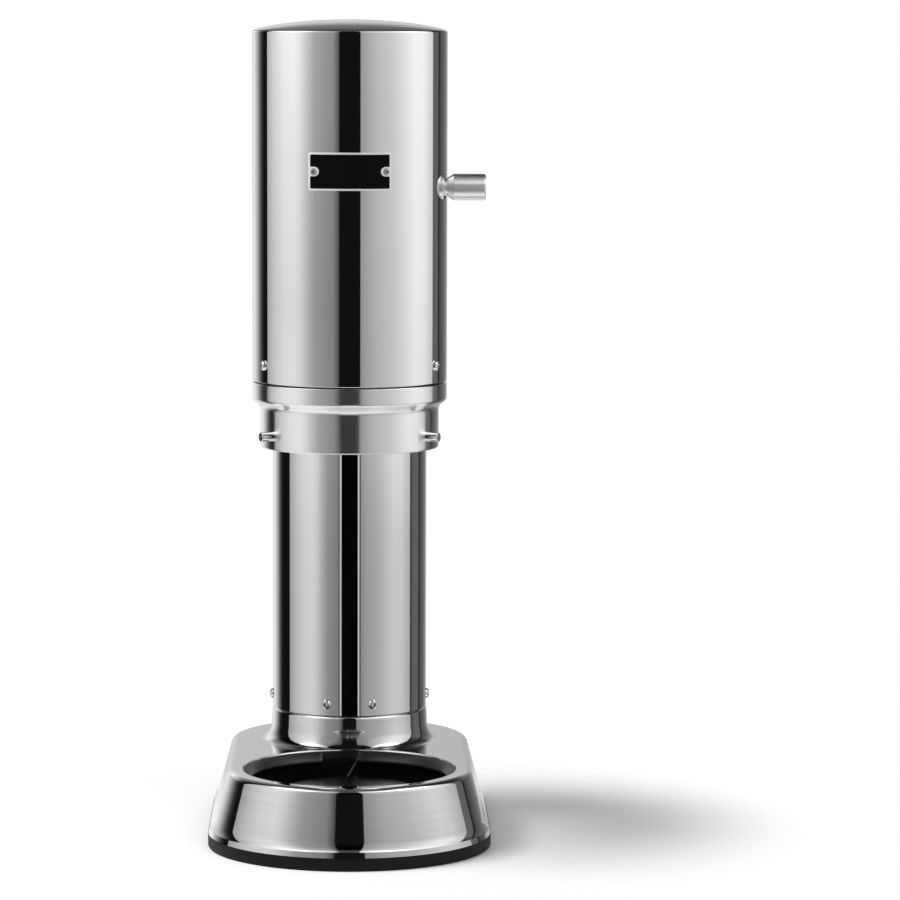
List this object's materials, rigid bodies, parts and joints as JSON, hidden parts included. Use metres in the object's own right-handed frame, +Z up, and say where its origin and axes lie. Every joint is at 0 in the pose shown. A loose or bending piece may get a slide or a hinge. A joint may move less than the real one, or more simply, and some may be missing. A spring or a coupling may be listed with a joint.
{
  "type": "sparkling water maker",
  "caption": "Stadium-shaped polished steel water carbonator: tall head over a tray, slotted column, sliding bell with twist collar, and a side press lever.",
  "frame": {"origin": "centre of the base's underside, halfway between the tray axis and the column axis", "axes": "+Z up, -Y to the front, where the tray is, and +X to the lever's side"},
  "size_m": [0.153, 0.255, 0.4445],
  "materials": {
    "polished_steel": "polished",
    "turned_steel": "turned satin",
    "brushed_steel": "brushed",
    "bell_steel": "satin",
    "dark_steel": "matt",
    "bright_steel": "ground",
    "screw_steel": "bright",
    "plate_metal": "brushed",
    "cast_alloy": "machined",
    "cylinder_paint": "semi-gloss",
    "brass": "machined",
    "black_plastic": "satin",
    "bush_plastic": "smooth",
    "black_rubber": "matt"
  },
  "bodies": {
    "frame": {"base_shell": "polished_steel", "base_plate": "dark_steel", "base_screws": "screw_steel", "foot_ring": "black_rubber", "bayonet_ring": "black_plastic", "drip_tray": "black_plastic", "column_tube": "polished_steel", "column_sleeve": "dark_steel", "column_screws": "screw_steel", "guide_rods": "bright_steel", "rod_bracket": "dark_steel", "gas_cylinder": "cylinder_paint", "cylinder_valve": "brass", "cylinder_seal": "black_rubber", "valve_block": "cast_alloy", "valve_bridge": "dark_steel", "relief_valve": "brass", "return_spring": "bright_steel", "gas_hose": "black_rubber", "head_shell": "polished_steel", "head_floor": "black_plastic", "head_frame": "dark_steel", "guide_ring": "black_plastic", "head_screws": "screw_steel", "lid": "polished_steel", "nameplate": "plate_metal", "nameplate_screws": "screw_steel", "lever_boss": "brushed_steel", "lever_pin": "bright_steel", "rocker_bracket": "dark_steel", "rocker_shaft": "bright_steel"},
    "bell": {"bell_tube": "bell_steel", "bell_cap": "bell_steel", "nozzle": "bell_steel", "mouth_seal": "black_rubber", "carriage": "cast_alloy", "slide_bushes": "bush_plastic", "riser_pipe": "bell_steel", "collar_retainer": "bell_steel"},
    "collar": {"collar": "turned_steel", "bayonet_pins": "bright_steel"},
    "lever": {"lever": "brushed_steel"},
    "rocker": {"rocker": "dark_steel"},
    "push_pin": {"push_pin_valve": "bright_steel"},
    "rest_plate": {"rest_plate": "brushed_steel"}
  },
  "joints": [
    {"name": "bell_slide", "type": "slide", "parent": "frame", "child": "bell", "axis": [0, 0, -1], "range_m": [0, 0.1915], "deforming": ["gas_hose"]},
    {"name": "collar_twist", "type": "hinge", "parent": "bell", "child": "collar", "pos_m": [0, -0.051, 0.234], "axis": [0, 0, -1], "range_deg": [0, 18]},
    {"name": "lever_press", "type": "hinge", "parent": "frame", "child": "lever", "pos_m": [0.0475, -0.066, 0.3562], "axis": [0, 1, 0], "range_deg": [0, 15], "stiffness_Nm_per_rad": 0.6, "springref_deg": -8.59},
    {"name": "rocker_tilt", "type": "hinge", "parent": "frame", "child": "rocker", "pos_m": [0.0477, -0.012, 0.3933], "axis": [-1, 0, 0], "range_deg": [0, 0.73]},
    {"name": "push_pin_press", "type": "slide", "parent": "frame", "child": "push_pin", "axis": [0, 0, -1], "range_m": [0, 0.0009], "deforming": ["return_spring"]},
    {"name": "rest_plate_lift", "type": "slide", "parent": "frame", "child": "rest_plate", "axis": [0, 0, 1], "range_m": [0, 0.04]}
  ],
  "couplings": [
    {"joint": "rocker_tilt", "follows": "lever_press", "ratio": 0.04815},
    {"joint": "push_pin_press", "follows": "lever_press", "m_per_rad": 0.003419}
  ]
}
